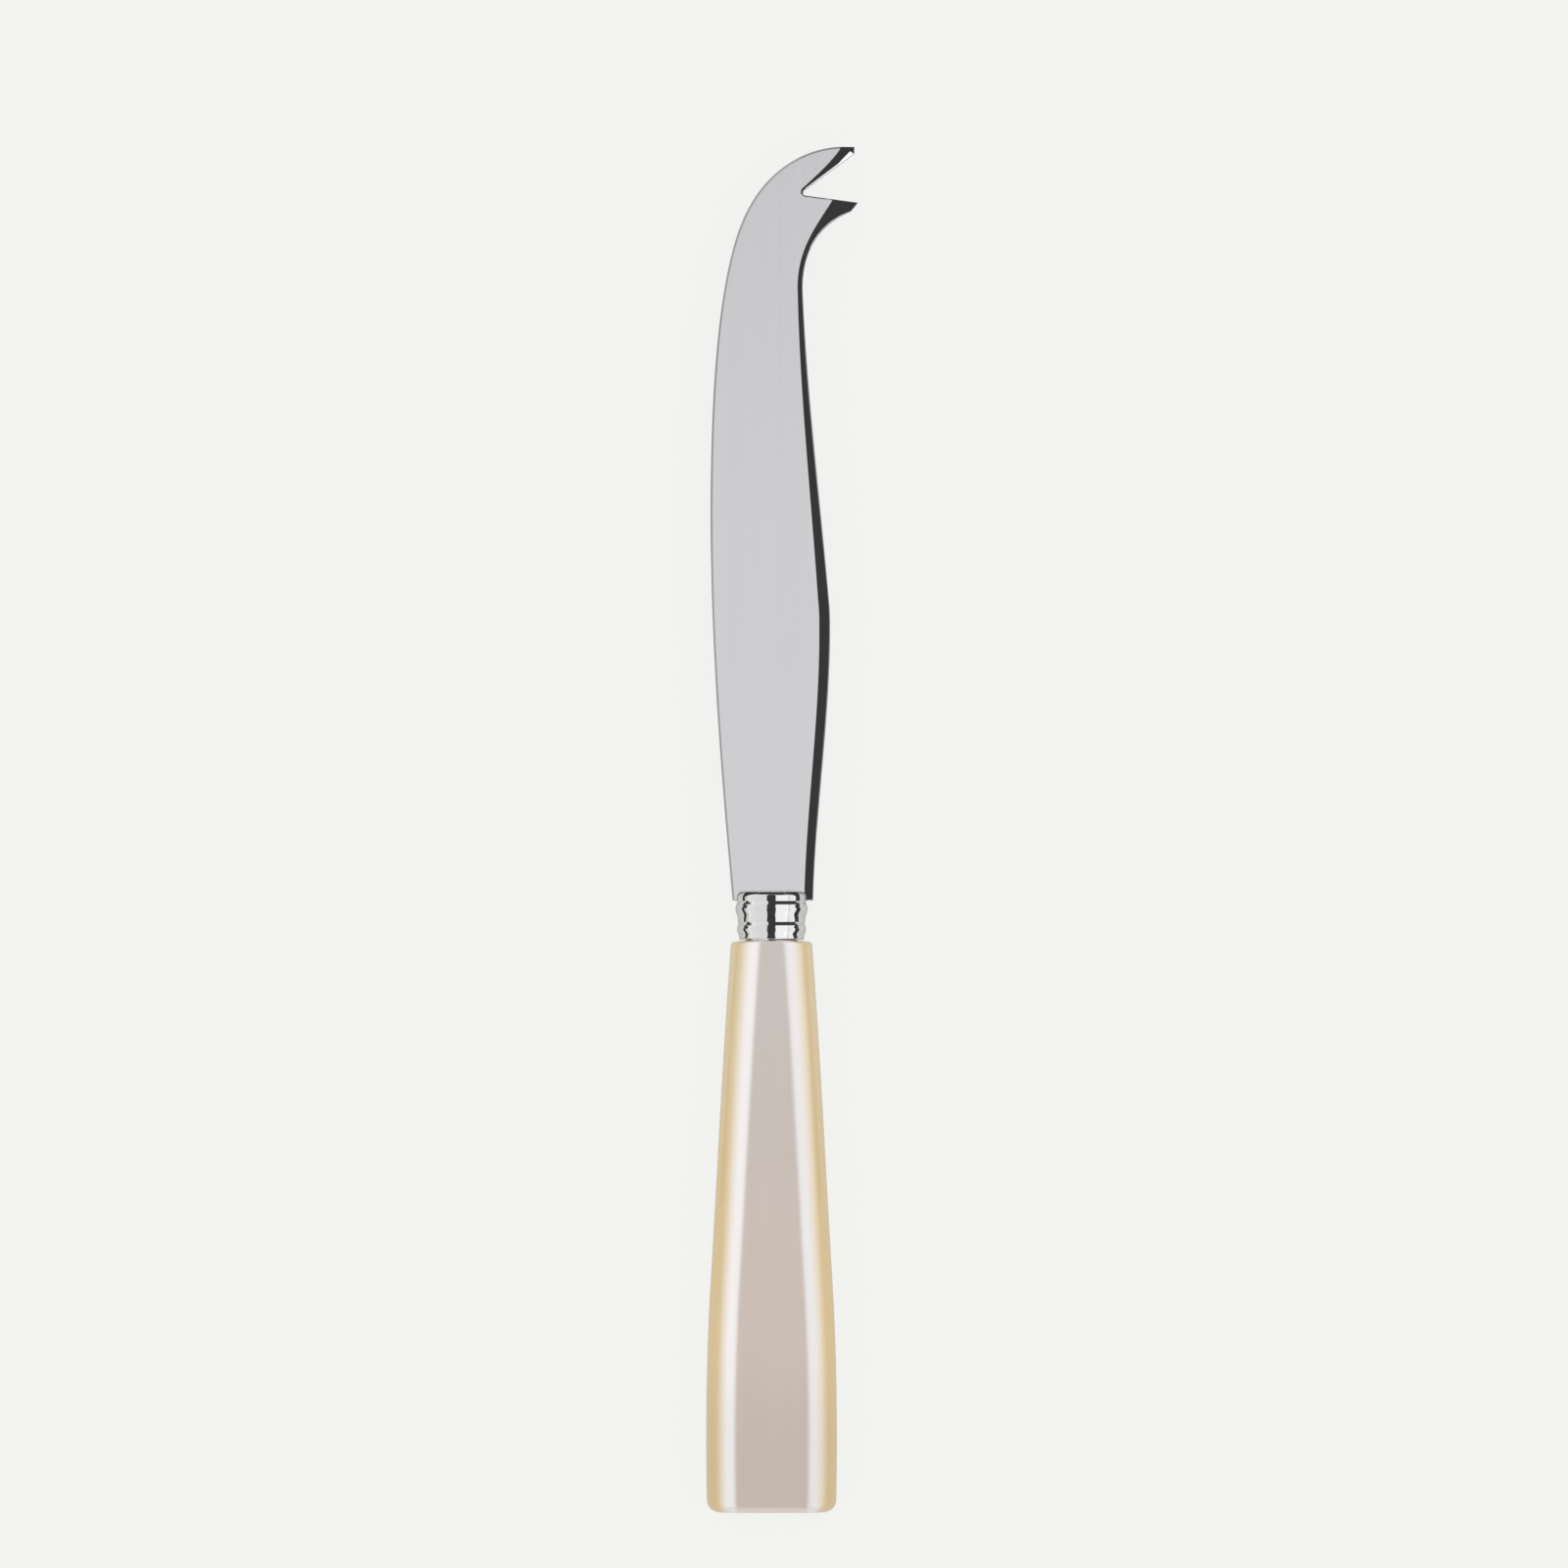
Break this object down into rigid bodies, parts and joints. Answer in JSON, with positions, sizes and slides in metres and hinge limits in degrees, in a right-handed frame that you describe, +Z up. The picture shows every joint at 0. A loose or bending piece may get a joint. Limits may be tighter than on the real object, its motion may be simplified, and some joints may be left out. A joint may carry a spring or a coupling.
{
  "type": "cheese knife",
  "caption": "Cheese knife with a curved, forked steel blade, a ribbed steel ferrule and a flared pearl handle, lying flat.",
  "frame": {"origin": "centre of the handle's flat back face, on which the knife lies", "axes": "+X from the butt towards the blade's tip, +Z up out of the face it lies on, +Y towards the cutting edge"},
  "size_m": [0.2507, 0.0279, 0.0144],
  "materials": {
    "blade_steel": "polished stainless steel with a soft sheen on the faces and mirror ground facets",
    "ferrule_steel": "mirror polished stainless steel",
    "handle_pearl": "glossy cast acrylic with a pearl sheen, pinkish white on the faces and warm cream at the sides"
  },
  "bodies": {
    "root": {"blade": "blade_steel", "ferrule": "ferrule_steel", "handle": "handle_pearl"}
  },
  "joints": []
}
